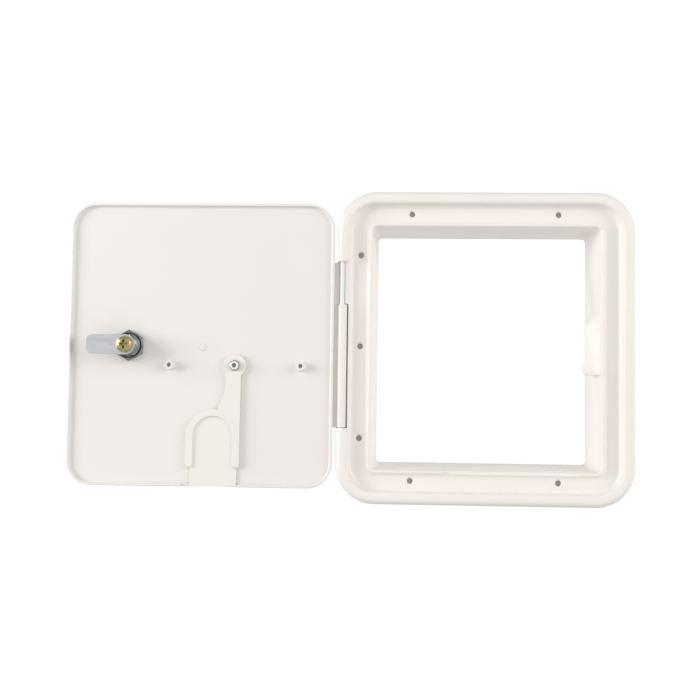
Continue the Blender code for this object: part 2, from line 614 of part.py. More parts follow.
def build_cam_stack(steel, brass, parent):
    """Stop washer, cam, spring washer and screw on the plug's square tang."""
    start = along_lock(BARREL_LENGTH) - 0.1 * MM
    stop_end = start - 1.1 * MM
    ear = arc(LOCK[0], LOCK[1], 9.0 * MM, 165, 195, 4)
    ring = arc(LOCK[0], LOCK[1], 6.9 * MM, 200, 520, 28)
    stop = make_object("stop_washer", extruded(ear + ring, start, stop_end), steel, parent)
    combine(stop, "DIFFERENCE", "square_hole", extruded(square(LOCK, TANG / 2 + 0.15 * MM), 0.0, -40 * MM))
    cam_start = stop_end - 0.15 * MM
    cam_end = cam_start - CAM_THICKNESS
    half = CAM_WIDTH / 2
    outline = arc(LOCK[0], LOCK[1], half, -90, 90, 14)
    tip = LOCK[0] - CAM_LENGTH
    tip_round = 3.6 * MM
    outline += arc(tip + tip_round, LOCK[1] + half - tip_round, tip_round, 90, 180, 4)
    outline += arc(tip + tip_round, LOCK[1] - half + tip_round, tip_round, 180, 270, 4)
    cam = make_object("cam", extruded(outline, cam_start, cam_end), steel, parent)
    combine(cam, "DIFFERENCE", "square_hole", extruded(square(LOCK, TANG / 2 + 0.15 * MM), 0.0, -40 * MM))
    washer_seat = cam_end - 0.25 * MM
    washer_end = washer_seat - 0.9 * MM
    washer = [(2.75 * MM, washer_seat), (6.6 * MM, washer_seat), (6.6 * MM, washer_end), (2.75 * MM, washer_end)]
    make_object("cam_washer", turned_ring(washer, LOCK), brass, parent)
    make_screw("cam_screw", LOCK, washer_end - 0.1 * MM, 5.8 * MM, 2.6 * MM, 2.1 * MM,
               along_lock(BARREL_LENGTH - 0.4 * MM) - 0.6 * MM, brass, parent)


# ---------------------------------------------------------------- assembly

def main():
    clear_scene()
    white = make_material("white_abs", (0.86, 0.84, 0.79), 0.35)
    cream = make_material("cream_abs", (0.87, 0.84, 0.75), 0.35)
    pin_white = make_material("white_acetal", (0.88, 0.87, 0.84), 0.3)
    steel = make_material("plated_steel", (0.62, 0.65, 0.68), 0.3, 1.0)
    brass = make_material("yellow_zinc", (0.80, 0.66, 0.30), 0.28, 1.0)
    inner_brass = make_material("lock_brass", (0.78, 0.62, 0.32), 0.35, 1.0)
    hinge = make_empty("door_axis", (HINGE_X, HINGE_Y, 0.0))
    flap_axis = make_empty("flap_axis", (PIVOT[0], DOOR_INNER, PIVOT[1]), hinge)
    lock_axis = make_empty("lock_axis", (LOCK[0], DOOR_INNER, LOCK[1]), hinge)
    build_frame(white)
    build_hinge_pin(pin_white)
    build_door(white, hinge)
    build_flap(cream, flap_axis)
    build_flap_fasteners(steel, pin_white, hinge)
    build_lock_housing(steel, hinge)
    build_nut_and_washer(steel, hinge)
    build_lock_plug(inner_brass, lock_axis)
    build_wafers(inner_brass, steel, lock_axis)
    build_cam_stack(steel, brass, lock_axis)
    bpy.context.view_layer.update()


main()
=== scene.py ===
"""Looks of the cable access hatch: moulded plastic, plated metal, a soft studio and the photograph's camera.

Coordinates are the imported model's own: metres, +Z up, the hatch facing -Y, the door open. Each piece built
here takes the place of one node, with finer rounding, threads and edges. The lock's plug, wafers and springs
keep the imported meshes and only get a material.
"""
import math

import bmesh
import bpy
from mathutils import Matrix, Vector


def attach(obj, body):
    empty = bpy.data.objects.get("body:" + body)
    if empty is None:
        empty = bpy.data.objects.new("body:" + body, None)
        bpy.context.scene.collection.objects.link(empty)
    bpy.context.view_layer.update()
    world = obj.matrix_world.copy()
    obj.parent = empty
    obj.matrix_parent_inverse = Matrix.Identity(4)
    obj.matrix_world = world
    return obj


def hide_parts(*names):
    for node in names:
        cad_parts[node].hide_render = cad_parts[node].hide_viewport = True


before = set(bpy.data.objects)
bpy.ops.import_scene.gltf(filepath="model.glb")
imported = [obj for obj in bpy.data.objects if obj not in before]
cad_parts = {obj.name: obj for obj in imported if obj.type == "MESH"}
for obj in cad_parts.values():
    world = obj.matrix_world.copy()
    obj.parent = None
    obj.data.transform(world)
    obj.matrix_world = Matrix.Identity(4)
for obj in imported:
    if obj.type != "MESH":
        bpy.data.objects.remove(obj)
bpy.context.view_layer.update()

MM = 0.001

# Frame
FRAME_REACH = 118.5 * MM
FRAME_EXTRA_HEIGHT = 7.5 * MM
RIM_EXTRA_HEIGHT = 6.8 * MM
RIM_DROP = 0.6 * MM
RIM_STARTS = 101.0 * MM
MOUTH_EXTRA_HEIGHT = 6.6 * MM
MOUTH_SHIFT = (0.8 * MM, -0.9 * MM)
CORNER_CENTRE = 87.0 * MM
SMALLEST_CORNER = 3.5 * MM
RIM_FRONT = -10.5 * MM
RIM_INNER_REACH = 108.5 * MM
RIM_WALL = 2.2 * MM
COVE_RADIUS = 3.7 * MM
FLANGE_FRONT = -2.5 * MM
NECK_FRONT_REACH = 91.2 * MM
NECK_BACK_REACH = 86.4 * MM
NECK_BACK = 39.3 * MM
NECK_WALL = 2.2 * MM
SCREW_PLACES = [(x, z) for z in (0.1071, -0.1071) for x in (-0.0586, 0.0586)]
SCREW_PLACES += [(-0.0997, z) for z in (0.0736, 0.0, -0.0736)]

# Hinge
HINGE_X = -114.2 * MM
HINGE_Y = -6.6 * MM
LUG_TOP = 78 * MM
LUG_BOTTOM = -76 * MM
GAP_TOP = 67.6 * MM
GAP_BOTTOM = -65.7 * MM
KNUCKLE_TOP = 33.0 * MM
KNUCKLE_ROOM = 109.3 * MM
SKIN_FRONT = -1.5 * MM
PIN_RADIUS = 1.75 * MM
BORE_RADIUS = 1.9 * MM

# Door
DOOR_WIDTH = 214.2 * MM
DOOR_HEIGHT = 228.0 * MM
DOOR_CORNER = 20.0 * MM
DOOR_FROM_AXIS = 6.5 * MM
DOOR_INNER = -5.5 * MM
DOOR_OUTER = -3.0 * MM
DOOR_TIP = -8.6 * MM
DOOR_WALL = 2.0 * MM
DOOR_X = HINGE_X - DOOR_FROM_AXIS - DOOR_WIDTH / 2
PIVOT = (-199.6 * MM, -16.9 * MM)
BOSS_SPACING = 52.9 * MM
GATE_MARK = (DOOR_X + 1.7 * MM, -2.4 * MM)
NOTCH_X = -216.5 * MM
NOTCH_HALF = 15 * MM
TAIL_LEFT = -234.5 * MM
TAIL_RIGHT = -197.0 * MM
FAR_FRONT = -20 * MM

# Lock
LOCK = (-285.7 * MM, -1.6 * MM)
LOCK_FLAT = 8.2 * MM
BARREL_RADIUS = 9.5 * MM
BARREL_END = DOOR_INNER - 14.1 * MM
TANG_HOLE = 3.95 * MM
NUT_HALF = 11.0 * MM

# Studio
SENSOR_WIDTH_MM = 36.0
LENS_MM = 1076.4 / 700 * SENSOR_WIDTH_MM
CAMERA_POSE = Matrix(((0.99879831, -0.01069652, 0.04782794, -0.06627),
                      (0.04712828, -0.05815932, -0.99719427, -0.86509),
                      (0.01344815, 0.99825001, -0.05758532, -0.05294),
                      (0.0, 0.0, 0.0, 1.0)))
FLOOR_Z = -0.36
WALL_Y = 1
LIT_POINT = Vector((-0.1, 0.0, 0.0))
LIGHT_DISTANCE = 2.0
TENT_SIDES = [((-1, 0, 0), 0.27), ((1, 0, 0), 0.55), ((0, -1, 0), 0.585),
              ((0, 1, 0), 0.73), ((0, 0, -1), 0.23), ((0, 0, 1), 0.13)]

SQUARE_CORNERS = ((1, 1), (-1, 1), (-1, -1), (1, -1))


# ---------------------------------------------------------------- materials

# the colour of a mark's soft dark patch
DARK_PATCH_BROWN = (0.30, 0.26, 0.20, 1.0)


class Nodes:
    """A material's node tree, with short calls to add and join nodes."""

    def __init__(self, name):
        self.material = bpy.data.materials.new(name)
        self.material.use_nodes = True
        self.tree = self.material.node_tree
        self.shader = self.tree.nodes["Principled BSDF"]
        self.coordinates = self.add("ShaderNodeTexCoord").outputs["Object"]

    def add(self, kind, **settings):
        node = self.tree.nodes.new(kind)
        for key, value in settings.items():
            setattr(node, key, value)
        return node

    def join(self, output, socket):
        self.tree.links.new(output, socket)

    def moved(self, location=(0, 0, 0), scale=(1, 1, 1)):
        mapping = self.add("ShaderNodeMapping")
        mapping.inputs["Location"].default_value = location
        mapping.inputs["Scale"].default_value = scale
        self.join(self.coordinates, mapping.inputs["Vector"])
        return mapping.outputs["Vector"]

    def noise(self, scale, detail=4.0, vector=None):
        node = self.add("ShaderNodeTexNoise")
        node.inputs["Scale"].default_value = scale
        node.inputs["Detail"].default_value = detail
        self.join(vector or self.coordinates, node.inputs["Vector"])
        return node.outputs["Fac"]

    def spread(self, value, low, high, start=0.3, end=0.7):
        node = self.add("ShaderNodeMapRange")
        node.inputs["From Min"].default_value = start
        node.inputs["From Max"].default_value = end
        node.inputs["To Min"].default_value = low
        node.inputs["To Max"].default_value = high
        self.join(value, node.inputs["Value"])
        return node.outputs["Result"]

    def ramp(self, value, stops):
        node = self.add("ShaderNodeValToRGB")
        elements = node.color_ramp.elements
        while len(elements) < len(stops):
            elements.new(0.5)
        for element, (place, colour) in zip(elements, stops):
            element.position = place
            element.color = (*colour, 1.0)
        self.join(value, node.inputs["Fac"])
        return node.outputs["Color"]

    def bump(self, height, distance, strength=1.0, under=None):
        node = self.add("ShaderNodeBump")
        node.inputs["Distance"].default_value = distance
        node.inputs["Strength"].default_value = strength
        self.join(height, node.inputs["Height"])
        if under:
            self.join(under, node.inputs["Normal"])
        return node.outputs["Normal"]


def shade(colour, factor):
    return tuple(min(1.0, channel * factor) for channel in colour)


def moulded_plastic(name, colour, roughness=0.36, mark=None):
    """Satin moulded ABS: faint flow mottling, a fine spark-eroded grain and slightly uneven gloss.

    A mark is a soft dark brown patch, given by its centre and its reach along each axis.
    """
    nodes = Nodes(name)
    flow = nodes.noise(scale=9.0, detail=5.0, vector=nodes.moved(scale=(1.0, 1.0, 0.45)))
    tint = nodes.ramp(flow, [(0.25, shade(colour, 0.985)), (0.55, colour), (0.8, shade(colour, 1.008))])
    if mark:
        centre, reach = mark
        place = nodes.moved([-c / r for c, r in zip(centre, reach)], [1 / r for r in reach])
        distance = nodes.add("ShaderNodeVectorMath", operation="LENGTH")
        nodes.join(place, distance.inputs[0])
        blend = nodes.add("ShaderNodeMix", data_type="RGBA")
        fade = nodes.spread(distance.outputs["Value"], 0.62, 0.0, start=0.2, end=1.1)
        nodes.join(fade, blend.inputs["Factor"])
        nodes.join(tint, blend.inputs["A"])
        blend.inputs["B"].default_value = DARK_PATCH_BROWN
        tint = blend.outputs["Result"]
    nodes.join(tint, nodes.shader.inputs["Base Color"])
    gloss = nodes.noise(scale=70.0, detail=3.0)
    nodes.join(nodes.spread(gloss, roughness - 0.05, roughness + 0.07), nodes.shader.inputs["Roughness"])
    grain = nodes.bump(nodes.noise(scale=2600.0, detail=2.0), distance=0.00002, strength=0.35)
    waves = nodes.bump(nodes.noise(scale=60.0, detail=2.0), distance=0.00012, strength=0.25, under=grain)
    nodes.join(waves, nodes.shader.inputs["Normal"])
    nodes.shader.inputs["IOR"].default_value = 1.5
    nodes.shader.inputs["Specular IOR Level"].default_value = 0.4
    return nodes.material


def plated(name, colour, roughness, blotch, streak=(1, 1, 1)):
    """Electroplated steel: cloudy plating, drawn or stamped streaks and small dents."""
    nodes = Nodes(name)
    cloud = nodes.noise(scale=160.0, detail=6.0)
    stops = [(0.25, shade(colour, 1 - blotch)), (0.5, colour), (0.75, shade(colour, 1 + blotch))]
    nodes.join(nodes.ramp(cloud, stops), nodes.shader.inputs["Base Color"])
    nodes.shader.inputs["Metallic"].default_value = 1.0
    lines = nodes.noise(scale=900.0, detail=3.0, vector=nodes.moved(scale=streak))
    nodes.join(nodes.spread(lines, roughness - 0.06, roughness + 0.10), nodes.shader.inputs["Roughness"])
    fine = nodes.bump(lines, distance=0.00002, strength=0.6)
    dents = nodes.bump(nodes.noise(scale=240.0, detail=2.0), distance=0.00006, strength=0.4, under=fine)
    nodes.join(dents, nodes.shader.inputs["Normal"])
    return nodes.material


def turned_metal(name, colour, roughness, centre, blotch=0.08, warm=None):
    """Plated metal turned on a lathe about a line along Y, with concentric tool marks.

    A warm colour, if there is one, takes the place of the plating's lightest clouds.
    """
    nodes = Nodes(name)
    cloud = nodes.noise(scale=220.0, detail=5.0)
    stops = [(0.25, shade(colour, 1 - blotch)), (0.5, colour), (0.78, warm or shade(colour, 1 + blotch))]
    nodes.join(nodes.ramp(cloud, stops), nodes.shader.inputs["Base Color"])
    nodes.shader.inputs["Metallic"].default_value = 1.0
    rings = nodes.add("ShaderNodeTexWave", wave_type="RINGS", rings_direction="Y")
    rings.inputs["Scale"].default_value = 900.0
    rings.inputs["Distortion"].default_value = 1.2
    rings.inputs["Detail Scale"].default_value = 3.0
    nodes.join(nodes.moved(location=(-centre[0], 0.0, -centre[1])), rings.inputs["Vector"])
    wear = nodes.noise(scale=400.0, detail=3.0)
    nodes.join(nodes.spread(wear, roughness - 0.05, roughness + 0.12), nodes.shader.inputs["Roughness"])
    marks = nodes.bump(rings.outputs["Fac"], distance=0.000012, strength=0.5)
    worn = nodes.bump(wear, distance=0.00003, strength=0.4, under=marks)
    nodes.join(worn, nodes.shader.inputs["Normal"])
    return nodes.material


# ---------------------------------------------------------------- mesh helpers

def arc(centre_a, centre_b, radius, start, end, steps):
    """Points on a circle, from one angle to another in degrees."""
    turns = [math.radians(start + (end - start) * i / steps) for i in range(steps + 1)]
    return [(centre_a + radius * math.cos(t), centre_b + radius * math.sin(t)) for t in turns]


def smooth_path(points, steps=5):
    """A Catmull-Rom curve through points."""
    ends = [points[0]] + points + [points[-1]]
    path = []
    for before, first, second, after in zip(ends, ends[1:], ends[2:], ends[3:]):
        for i in range(steps):
            t = i / steps
            path.append(tuple(0.5 * (2 * b + (c - a) * t + (2 * a - 5 * b + 4 * c - d) * t * t
                                     + (3 * b - a - 3 * c + d) * t ** 3)
                              for a, b, c, d in zip(before, first, second, after)))
    return path + [points[-1]]


def rounded_loop(half_x, half_z, radius, y, centre=(0.0, 0.0), steps=16):
    """A rectangle with round corners, in the upright plane at y."""
    points = []
    for sign_x, sign_z, start in ((1, 1, 0), (-1, 1, 90), (-1, -1, 180), (1, -1, 270)):
        corner_x = centre[0] + sign_x * (half_x - radius)
        corner_z = centre[1] + sign_z * (half_z - radius)
        points += arc(corner_x, corner_z, radius, start, start + 90, steps)
    return [Vector((x, y, z)) for x, z in points]


def loft(loops, ring=False):
    """A closed mesh through a row of loops, capped at both ends or closed on itself."""
    bm = bmesh.new()
    rows = [[bm.verts.new(point) for point in loop] for loop in loops]
    pairs = list(zip(rows, rows[1:]))
    if ring:
        pairs.append((rows[-1], rows[0]))
    for first, second in pairs:
        for i in range(len(first)):
            j = (i + 1) % len(first)
            bm.faces.new((first[i], first[j], second[j], second[i]))
    if not ring:
        bm.faces.new(rows[0])
        bm.faces.new(rows[-1])
    return bm


def extruded(outline, y_from, y_to):
    return loft([[Vector((x, y, z)) for x, z in outline] for y in (y_from, y_to)])


def upright(outline, bottom, top):
    return loft([[Vector((x, y, z)) for x, y in outline] for z in (bottom, top)])


def box(low, high):
    outline = [(low[0], low[2]), (high[0], low[2]), (high[0], high[2]), (low[0], high[2])]
    return extruded(outline, low[1], high[1])


def rectangle(centre, half_x, half_z):
    return [(centre[0] + sx * half_x, centre[1] + sz * half_z) for sx, sz in SQUARE_CORNERS]


def circle(centre, radius, steps):
    return arc(centre[0], centre[1], radius, 0, 360 - 360 / steps, steps - 1)


def turned(profile, centre, steps=64, ring=False):
    """A solid turned about a line along Y, from (radius, y) points; a ring's profile closes on itself."""
    loops = [[Vector((x, y, z)) for x, z in circle(centre, radius, steps)] for radius, y in profile]
    return loft(loops, ring)


def rod(profile, x, y, steps=48):
    """A solid turned about an upright line, from (radius, z) points."""
    loops = [[Vector((px, py, z)) for px, py in circle((x, y), radius, steps)] for radius, z in profile]
    return loft(loops)


def together(meshes):
    """One mesh of several that don't touch."""
    total = bmesh.new()
    for bm in meshes:
        mesh = bpy.data.meshes.new("temporary")
        bm.to_mesh(mesh)
        bm.free()
        total.from_mesh(mesh)
        bpy.data.meshes.remove(mesh)
    return total


def raw_object(name, bm):
    """An object of a mesh under construction, with its faces turned outwards."""
    bmesh.ops.remove_doubles(bm, verts=bm.verts, dist=1e-7)
    bmesh.ops.recalc_face_normals(bm, faces=bm.faces)
    mesh = bpy.data.meshes.new(name)
    bm.to_mesh(mesh)
    bm.free()
    mesh.shade_smooth()
    obj = bpy.data.objects.new(name, mesh)
    bpy.context.scene.collection.objects.link(obj)
    return obj


def cut(obj, steps):
    """Add Boolean steps to an object and return their tools, which piece() removes at its end."""
    tools = []
    for operation, tool_mesh in steps:
        tool = raw_object(f"{obj.name}_tool", tool_mesh)
        modifier = obj.modifiers.new("shape", "BOOLEAN")
        modifier.operation = operation
        modifier.solver = "EXACT"
        modifier.object = tool
        tools.append(tool)
    return tools


def piece(name, bm, steps, material, body, node, edge=0.2 * MM, sharp=38.0, late_steps=()):
    """A finished piece: the mesh, shaped by Boolean steps, with its sharp edges rounded over.

    Late steps are cut after the rounding, and such a piece is shaded sharp or smooth by angle alone.
    """
    obj = raw_object(name, bm)
    tools = cut(obj, steps)
    if edge:
        bevel = obj.modifiers.new("edge", "BEVEL")
        bevel.width = edge
        bevel.segments = 2
        bevel.limit_method = "ANGLE"
        bevel.angle_limit = math.radians(sharp)
        bevel.use_clamp_overlap = False
        if not late_steps:
            weighted = obj.modifiers.new("normals", "WEIGHTED_NORMAL")
            weighted.keep_sharp = True
    tools += cut(obj, late_steps)
    bpy.context.view_layer.update()
    depsgraph = bpy.context.evaluated_depsgraph_get()
    mesh = bpy.data.meshes.new_from_object(obj.evaluated_get(depsgraph))
    obj.modifiers.clear()
    for tool in tools:
        bpy.data.objects.remove(tool, do_unlink=True)
    obj.data = mesh
    if late_steps:
        mesh.set_sharp_from_angle(angle=math.radians(32.0))
    mesh.materials.clear()
    mesh.materials.append(material)
    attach(obj, body)
    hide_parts(node)
    return obj


# ---------------------------------------------------------------- frame

def frame_loop(reach, y):
    """The frame's outline at a reach from its middle; rim, mouth and neck each have their own height."""
    radius = max(reach - CORNER_CENTRE, SMALLEST_CORNER)
    if reach > RIM_STARTS:
        return rounded_loop(reach, reach + RIM_EXTRA_HEIGHT, radius, y, (0.0, -RIM_DROP))
    if y <= 0.0:
        return rounded_loop(reach, reach + MOUTH_EXTRA_HEIGHT, radius, y, MOUTH_SHIFT)
    return rounded_loop(reach, reach + FRAME_EXTRA_HEIGHT, radius, y)


def frame_profile():
    """The moulding's section as (reach, y) points: rim, cove, flange, lip, neck and the rim's hollow back."""
    outer_round, inner_round = 5.0 * MM, 2.5 * MM
    cove_x = RIM_INNER_REACH - 0.2 * MM - COVE_RADIUS
    cove_y = FLANGE_FRONT - COVE_RADIUS
    points = [(FRAME_REACH, 0.0)]
    points += arc(FRAME_REACH - 0.3 * MM - outer_round, RIM_FRONT + outer_round, outer_round, 0, -90, 12)
    points += arc(RIM_INNER_REACH + inner_round, RIM_FRONT + inner_round, inner_round, -90, -180, 8)
    points += arc(cove_x, cove_y, COVE_RADIUS, 0, 90, 10)
    flange_ends, flange_starts, hollow_starts = 104.3 * MM, 100.2 * MM, 106.4 * MM
    points += [(flange_ends, FLANGE_FRONT), (flange_starts, FLANGE_FRONT)]
    lip = [(99.5, -2.5), (96.2, -2.9), (94.5, -3.8), (93.5, -5.1), (92.7, -5.5), (91.8, -5.2), (91.2, -4.4)]
    points += [(x * MM, y * MM) for x, y in smooth_path(lip, 4)]
    points += [(NECK_BACK_REACH + 0.1 * MM, NECK_BACK - 0.4 * MM), (NECK_BACK_REACH + 0.5 * MM, NECK_BACK)]
    points += [(NECK_BACK_REACH + NECK_WALL, NECK_BACK)]
    points += [(NECK_FRONT_REACH + NECK_WALL - 0.3 * MM, 0.0), (hollow_starts, 0.0)]
    points += arc(cove_x, cove_y, COVE_RADIUS + RIM_WALL, 60, 0, 5)
    inner_depth, inner_bend, outer_reach, outer_depth = -6.8 * MM, 1.5 * MM, 113.2 * MM, -5.6 * MM
    points += arc(RIM_INNER_REACH + inner_round + 1.0 * MM, inner_depth, inner_bend, 200, 270, 4)
    points += arc(outer_reach, outer_depth, outer_round - RIM_WALL, -70, 0, 6)
    return points + [(FRAME_REACH - RIM_WALL, 0.0)]


def keeper():
    """The latch's ledge on the neck's right wall, as sections in millimetres from the top to the stop."""
    root, pad = 92.6, 91.5
    loops = []
    for z, tip, back in ((29.0, 87.5, 6.4), (17.5, 80.7, 7.4), (-10.5, 80.7, 7.4), (-12.0, 79.5, 10.5),
                         (-17.5, 79.3, 10.5), (-21.0, 81.4, 10.5)):
        middle = tip + 0.55 * (pad - tip)
        section = [(root, -3.4), (pad, -3.2), (middle, 2.4), (tip, 4.4), (tip, back), (root, back)]
        loops.append([Vector((x, y, z)) * MM for x, y in section])
    return loft(loops)


def screw_hole(place):
    """The tool for a countersunk screw hole; it stops 0.4 mm before the flange's back."""
    profile = [(2.25, -0.4), (2.25, -1.4), (3.5, -2.6), (3.5, -5.0)]
    return turned([(radius * MM, y * MM) for radius, y in profile], place, 40)


def paint_shade_in_holes(obj, places, reach, y_from, y_to, shadow):
    """Give the faces in a piece's holes, within reach of the holes' lines, a darker material: painted shade
    for the dark inside of the holes.
    """
    obj.data.materials.append(shadow)
    for face in obj.data.polygons:
        x, y, z = face.center
        if y_from < y < y_to and any(math.hypot(x - a, z - b) < reach for a, b in places):
            face.material_index = 1


def build_frame(material, shadow):
    """The frame's moulding, cut out on the left for the bare pin and for the door's knuckle."""
    lug_low, lug_high = (-116.8 * MM, -8.6 * MM), (-109.0 * MM, -0.4 * MM)
    lugs = [box((*lug_low, KNUCKLE_TOP - 2 * MM), (*lug_high, LUG_TOP)),
            box((*lug_low, LUG_BOTTOM), (*lug_high, GAP_BOTTOM + 4 * MM))]
    web = box((-117.5 * MM, -3 * MM, GAP_BOTTOM - 1 * MM), (-108.8 * MM, 0.0, GAP_TOP + 1 * MM))
    outside = (-120 * MM, -12 * MM)
    pin_room = box((*outside, KNUCKLE_TOP), (-112.2 * MM, SKIN_FRONT, GAP_TOP))
    knuckle_room = box((*outside, GAP_BOTTOM), (-KNUCKLE_ROOM, SKIN_FRONT, KNUCKLE_TOP + 0.6 * MM))
    ledge = box((-113 * MM, -12 * MM, GAP_BOTTOM), (-105.5 * MM, -7 * MM, GAP_TOP))
    bore = rod([(BORE_RADIUS, -73 * MM), (BORE_RADIUS, 76.2 * MM)], HINGE_X, HINGE_Y)
    flap_rebate = box((-32.3 * MM, -7 * MM, -101.3 * MM), (78.8 * MM, -3.3 * MM, -98.0 * MM))
    steps = [("UNION", solid) for solid in (together(lugs), web, keeper())]
    steps += [("DIFFERENCE", room) for room in (pin_room, knuckle_room, ledge, bore, flap_rebate)]
    holes = together([screw_hole(place) for place in SCREW_PLACES])
    body = loft([frame_loop(*point) for point in frame_profile()], ring=True)
    moulding = piece("frame_moulding", body, steps, material, "frame", "frame", 0.25 * MM, 42,
                     [("DIFFERENCE", holes)])
    # the screw holes' walls and floors get painted shade
    paint_shade_in_holes(moulding, SCREW_PLACES, 2.4 * MM, -2.0 * MM, -0.2 * MM, shadow)


def build_pin(material):
    top, bottom, chamfer = 75.5 * MM, -72.5 * MM, 0.5 * MM
    profile = [(PIN_RADIUS - chamfer, bottom), (PIN_RADIUS, bottom + chamfer)]
    profile += [(PIN_RADIUS, bottom + (top - bottom) * i / 12) for i in range(1, 12)]
    profile += [(PIN_RADIUS, top - chamfer), (PIN_RADIUS - chamfer, top)]
    piece("hinge_rod", rod(profile, HINGE_X, HINGE_Y), [], material, "frame", "hinge_pin", 0.1 * MM)


# ---------------------------------------------------------------- door

def door_profile():
    """The tray's edge as (inset, y) points, from its inner floor over the tip to its outer face."""
    foot, inner_tip, outer_tip, outer_edge = 1.2 * MM, 0.5 * MM, 0.8 * MM, 1.8 * MM
    points = arc(DOOR_WALL + foot, DOOR_INNER - foot, foot, 90, 180, 6)
    points += arc(DOOR_WALL - 0.6 * MM, DOOR_TIP + inner_tip, inner_tip, 0, -90, 4)
    points += arc(outer_tip, DOOR_TIP + outer_tip, outer_tip, -90, -180, 5)
    points += arc(outer_edge, DOOR_OUTER - outer_edge, outer_edge, 180, 90, 7)
    return points


def door_loop(inset, y):
    half_width, half_height = DOOR_WIDTH / 2 - inset, DOOR_HEIGHT / 2 - inset
    return rounded_loop(half_width, half_height, DOOR_CORNER - inset, y, (DOOR_X, 0.0), 20)


def knuckle_outline():
    """The hinge's knuckle with its leaf, seen from above, as (x, y) points about the pin."""
    points = [(-7.6, 3.4), (-1.0, 3.5)] + arc(0.0, 0.0, 3.8, 80, 0, 16)
    points += smooth_path([(4.0, -1.8), (3.8, -2.35), (3.2, -3.0), (1.6, -3.1), (0.0, -2.9), (-1.2, -2.5),
                           (-2.1, -1.8), (-2.6, -0.8), (-2.9, 0.4), (-3.5, 1.6), (-4.6, 2.2)], 4)
    return [(HINGE_X + x * MM, HINGE_Y + y * MM) for x, y in points + [(-7.6, 2.2)]]


def boss(centre, radius, height):
    """A pin boss with a small fillet at its foot."""
    foot, top = DOOR_INNER, DOOR_INNER - height
    profile = [(radius + 0.7 * MM, foot + 0.6 * MM), (radius + 0.7 * MM, foot)]
    profile += [(radius + 0.25 * MM, foot - 0.15 * MM), (radius + 0.05 * MM, foot - 0.5 * MM)]
    profile += arc(radius - 0.4 * MM, top + 0.4 * MM, 0.4 * MM, 0, -90, 4)
    return turned(profile, centre, 48)


def build_door(material):
    """The door's moulding: knuckle, bosses, lock hole, and the notch with room for the flap's tail."""
    knuckle = upright(knuckle_outline(), GAP_BOTTOM + 0.5 * MM, KNUCKLE_TOP)
    strip = box((HINGE_X - 7.7 * MM, -4.5 * MM, 32 * MM),
                (HINGE_X - 2.2 * MM, -3.3 * MM, GAP_TOP - 0.6 * MM))
    boss_places = [(PIVOT[0] - BOSS_SPACING, PIVOT[1]), (PIVOT[0] + BOSS_SPACING, PIVOT[1])]
    bosses = [boss(place, 3.8 * MM, 6.0 * MM) for place in boss_places] + [boss(PIVOT, 3.5 * MM, 3.8 * MM)]
    hole_end = DOOR_INNER - 0.3 * MM
    holes = [turned([(1.7 * MM, hole_end), (1.75 * MM, FAR_FRONT)], place, 32) for place in boss_places]
    holes.append(turned([(1.6 * MM, hole_end), (1.6 * MM, FAR_FRONT)], PIVOT, 32))
    bore = rod([(BORE_RADIUS, -70 * MM), (BORE_RADIUS, 40 * MM)], HINGE_X, HINGE_Y)
    lock_hole = [(x, LOCK[1] + max(-LOCK_FLAT, min(LOCK_FLAT, z - LOCK[1])))
                 for x, z in circle(LOCK, 9.7 * MM, 96)]
    below_door, front, back = -0.12, -12 * MM, 2 * MM
    notch = [(NOTCH_X + NOTCH_HALF, below_door)] + arc(NOTCH_X, -74.5 * MM, NOTCH_HALF, 0, 180, 32)
    notch.append((NOTCH_X - NOTCH_HALF, below_door))
    gate_profile = [(3.0, 0.5), (2.9, -0.1), (2.0, -0.55), (0.9, -0.65)]
    gate = turned([(radius * MM, DOOR_INNER + y * MM) for radius, y in gate_profile], GATE_MARK, 32)
    tail_room = box((-241.5 * MM, front, -116 * MM), (TAIL_RIGHT + 0.4 * MM, DOOR_INNER, -111 * MM))
    steps = [("UNION", solid) for solid in (knuckle, strip, together(bosses + [gate]))]
    steps += [("DIFFERENCE", bore), ("DIFFERENCE", together(holes))]
    steps += [("DIFFERENCE", extruded(outline, front, back)) for outline in (lock_hole, notch)]
    steps.append(("DIFFERENCE", tail_room))
    body = loft([door_loop(*point) for point in door_profile()])
    piece("door_moulding", body, steps, material, "door", "door_panel", 0.25 * MM, 42)


# ---------------------------------------------------------------- flap

def build_flap(material):
    """A thin plate that covers the notch, with a thicker rib along its arch, arm and head."""
    back = DOOR_INNER - 0.3 * MM
    half, inner = 21.6 * MM, 16.1 * MM
    arch_z, leg_end, tail_end = -73.6 * MM, -98.3 * MM, -113.6 * MM
    step, inset = leg_end - 0.8 * MM, 0.6 * MM
    plate = [(NOTCH_X + half - inset, step)] + arc(NOTCH_X, arch_z, half - inset, 0, 180, 48)
    plate += [(NOTCH_X - half + inset, step), (TAIL_LEFT, step), (TAIL_LEFT, tail_end)]
    plate += [(TAIL_RIGHT, tail_end), (TAIL_RIGHT, step)]
    rib = [(NOTCH_X + half, leg_end), (NOTCH_X + half, arch_z)] + arc(*PIVOT, 9.0 * MM, -56, 215, 48)
    side = smooth_path([(-206.6, -25.5), (-206.6, -34.0), (-209.2, -43.5), (-213.0, -52.6)], 6)
    rib += [(x * MM, z * MM) for x, z in side] + arc(NOTCH_X, arch_z, half, 84, 180, 26)
    rib += [(NOTCH_X - half, leg_end), (NOTCH_X - inner, leg_end)]
    rib += arc(NOTCH_X, arch_z, inner, 180, 0, 44) + [(NOTCH_X + inner, leg_end)]
    hole = turned([(3.8 * MM, 0.0), (3.8 * MM, FAR_FRONT)], PIVOT, 48)
    steps = [("UNION", extruded(rib, back - 0.4 * MM, back - 3.0 * MM)), ("DIFFERENCE", hole)]
    body = extruded(plate, back, back - 1.5 * MM)
    piece("flap_moulding", body, steps, material, "flap", "flap", 0.3 * MM, 42)


# ---------------------------------------------------------------- fasteners and lock

